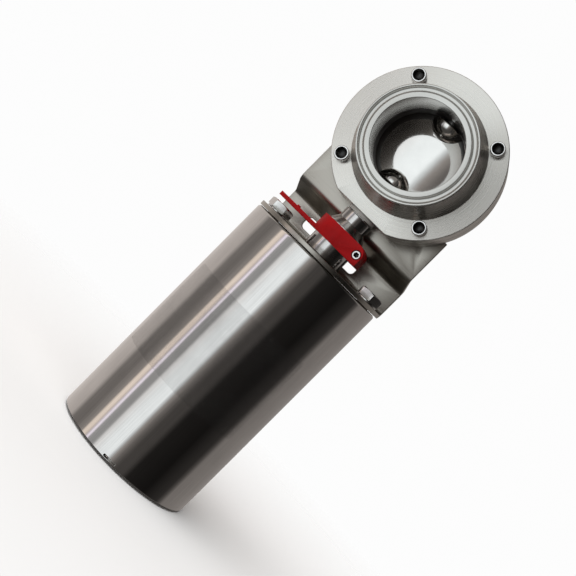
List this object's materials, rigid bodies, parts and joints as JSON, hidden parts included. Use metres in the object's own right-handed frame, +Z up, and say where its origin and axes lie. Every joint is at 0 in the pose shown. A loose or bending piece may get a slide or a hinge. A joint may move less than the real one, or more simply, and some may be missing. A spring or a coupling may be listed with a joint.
{
  "type": "pneumatic actuated valve",
  "caption": "Hygienic butterfly valve with clamp-ferrule ends and a round spring-return pneumatic actuator on its stem, joined by a joggled steel bracket, with a red position pointer.",
  "frame": {"origin": "centre of the actuator end cap's flat outer face, on the stem axis", "axes": "+Z up the stem from the actuator to the valve; the pipe runs along Y, and -Y is the side of the screw heads; +X completes a right-handed frame"},
  "size_m": [0.1136, 0.1241, 0.3305],
  "materials": {
    "body_steel": "fine turned and satin stainless steel",
    "disc_steel": "mirror polished stainless steel",
    "shell_steel": "drawn and polished stainless tube with fine lengthwise lines",
    "bracket_steel": "satin sheet steel",
    "shaft_steel": "turned and polished steel",
    "fastener_steel": "bright stainless fasteners",
    "inner_steel": "machined steel inside the actuator",
    "spring_steel": "dark spring steel",
    "piston_aluminium": "machined aluminium",
    "bearing_bronze": "sintered bronze",
    "indicator_red": "moulded red plastic with a soft gloss",
    "seat_silicone": "moulded elastomer seat",
    "seal_rubber": "black rubber",
    "bush_plastic": "bearing plastic",
    "collar_plastic": "black moulded plastic",
    "label_film": "clear blank label film"
  },
  "bodies": {
    "housing": {"body_front": "body_steel", "body_rear": "body_steel", "seat": "seat_silicone", "stem_bush_upper": "bush_plastic", "stem_bush_lower": "bush_plastic", "body_screw_1": "fastener_steel", "body_screw_2": "fastener_steel", "body_screw_3": "fastener_steel", "body_screw_4": "fastener_steel", "body_nut_1": "fastener_steel", "body_nut_2": "fastener_steel", "body_nut_3": "fastener_steel", "body_nut_4": "fastener_steel", "mounting_bracket": "bracket_steel", "bracket_bolt_1": "fastener_steel", "bracket_bolt_2": "fastener_steel", "bracket_washer_1": "fastener_steel", "bracket_washer_2": "fastener_steel", "shaft_bush": "bearing_bronze", "shaft_seal": "seal_rubber", "thrust_washer": "bush_plastic", "cylinder_shell": "shell_steel", "label_film": "label_film", "end_cap": "body_steel", "end_cap_oring": "seal_rubber", "end_retaining_wire": "fastener_steel", "base_cover": "body_steel", "base_cover_oring": "seal_rubber", "base_retaining_wire": "fastener_steel", "guide_sleeve": "inner_steel", "air_inlet_fitting": "fastener_steel", "breather": "bearing_bronze", "return_spring_outer": "spring_steel", "return_spring_inner": "spring_steel"},
    "stem": {"disc": "disc_steel", "output_shaft": "shaft_steel", "position_indicator": "indicator_red", "indicator_screw": "fastener_steel", "shaft_circlip": "spring_steel"},
    "piston_unit": {"piston": "piston_aluminium", "piston_seal": "seal_rubber", "piston_wear_ring": "bush_plastic", "drive_pin": "inner_steel"},
    "drive_roller_right": {"drive_roller_1": "inner_steel"},
    "drive_roller_left": {"drive_roller_2": "inner_steel"},
    "guide_roller_right": {"guide_roller_1": "inner_steel"},
    "guide_roller_left": {"guide_roller_2": "inner_steel"},
    "collar": {"release_collar": "collar_plastic"}
  },
  "joints": [
    {"name": "stem_turn", "type": "hinge", "parent": "housing", "child": "stem", "pos_m": [0, 0, 0.2737], "axis": [0, 0, 1], "range_deg": [0, 90], "stiffness_Nm_per_rad": 1, "springref_deg": -17.19},
    {"name": "piston_slide", "type": "slide", "parent": "housing", "child": "piston_unit", "axis": [0, 0, 1], "range_m": [0, 0.04], "deforming": ["return_spring_outer", "return_spring_inner"]},
    {"name": "drive_roller_right_spin", "type": "hinge", "parent": "piston_unit", "child": "drive_roller_right", "pos_m": [0.0108, 0, 0.087], "axis": [1, 0, 0], "range_deg": [-481, 0]},
    {"name": "drive_roller_left_spin", "type": "hinge", "parent": "piston_unit", "child": "drive_roller_left", "pos_m": [-0.0108, 0, 0.087], "axis": [1, 0, 0], "range_deg": [0, 481]},
    {"name": "guide_roller_right_spin", "type": "hinge", "parent": "piston_unit", "child": "guide_roller_right", "pos_m": [0.022, 0, 0.087], "axis": [1, 0, 0], "range_deg": [0, 441]},
    {"name": "guide_roller_left_spin", "type": "hinge", "parent": "piston_unit", "child": "guide_roller_left", "pos_m": [-0.022, 0, 0.087], "axis": [1, 0, 0], "range_deg": [-441, 0]},
    {"name": "collar_press", "type": "slide", "parent": "housing", "child": "collar", "axis": [0, -1, 0], "range_m": [0, 0.0015], "stiffness_N_per_m": 300, "springref_m": -0.001}
  ],
  "couplings": [
    {"joint": "piston_slide", "follows": "stem_turn", "m_per_rad": 0.02546},
    {"joint": "drive_roller_right_spin", "follows": "stem_turn", "ratio": -5.335},
    {"joint": "drive_roller_left_spin", "follows": "stem_turn", "ratio": 5.335},
    {"joint": "guide_roller_right_spin", "follows": "stem_turn", "ratio": 4.896},
    {"joint": "guide_roller_left_spin", "follows": "stem_turn", "ratio": -4.896}
  ]
}
